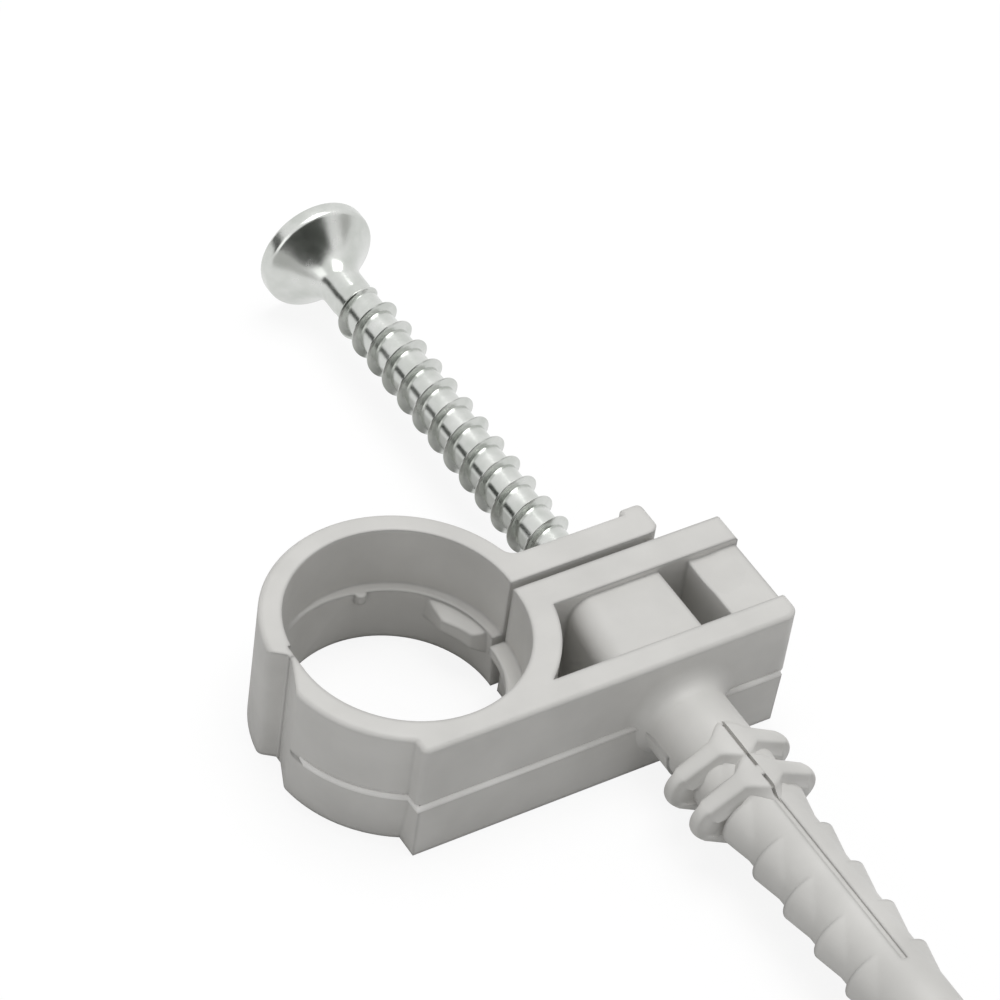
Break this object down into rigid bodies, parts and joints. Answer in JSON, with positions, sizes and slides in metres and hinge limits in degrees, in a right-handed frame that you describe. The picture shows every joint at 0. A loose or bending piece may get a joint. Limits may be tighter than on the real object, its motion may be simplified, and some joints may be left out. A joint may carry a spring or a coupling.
{
  "type": "pipe clip",
  "caption": "Light grey plastic pipe clip: a split ring with a screw-closed arm and an integral barbed wall dowel, its countersunk screw part driven.",
  "frame": {"origin": "on the pipe axis, at the mould's parting plane", "axes": "+X along the arm, +Y away from the wall towards the screw head, +Z along the pipe axis"},
  "size_m": [0.0475, 0.1158, 0.0138],
  "materials": {
    "grey_plastic": "satin",
    "zinc_steel": "bright"
  },
  "bodies": {
    "base": {"clip_base": "grey_plastic"},
    "jaw": {"clamp_jaw": "grey_plastic"},
    "screw": {"screw": "zinc_steel"}
  },
  "joints": [
    {"name": "jaw_hinge", "type": "hinge", "parent": "base", "child": "jaw", "pos_m": [-0.0117, 0.00165, 0], "axis": [0, 0, 1], "range_deg": [-1.1, 4], "stiffness_Nm_per_rad": 0.05},
    {"name": "screw_drive", "type": "slide", "parent": "base", "child": "screw", "axis": [0, -1, 0], "range_m": [0, 0.043]}
  ]
}
